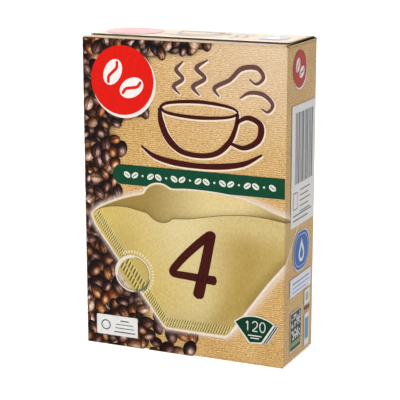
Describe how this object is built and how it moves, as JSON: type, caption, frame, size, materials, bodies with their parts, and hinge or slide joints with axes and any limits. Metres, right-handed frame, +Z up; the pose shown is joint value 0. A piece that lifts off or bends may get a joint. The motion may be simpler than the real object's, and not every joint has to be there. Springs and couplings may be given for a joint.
{
  "type": "coffee filter carton",
  "caption": "Sealed upright folding carton for paper coffee filters, with printed panels and a glued closure at each end.",
  "frame": {"origin": "middle of the base, on the surface that the carton stands on", "axes": "+Z up along the carton's height, +X to the right across the front panel, the front panel faces -Y"},
  "size_m": [0.126, 0.047, 0.185],
  "materials": {
    "carton_board": "printed folding boxboard with a satin dispersion varnish"
  },
  "bodies": {
    "root": {"carton": "carton_board"}
  },
  "joints": []
}
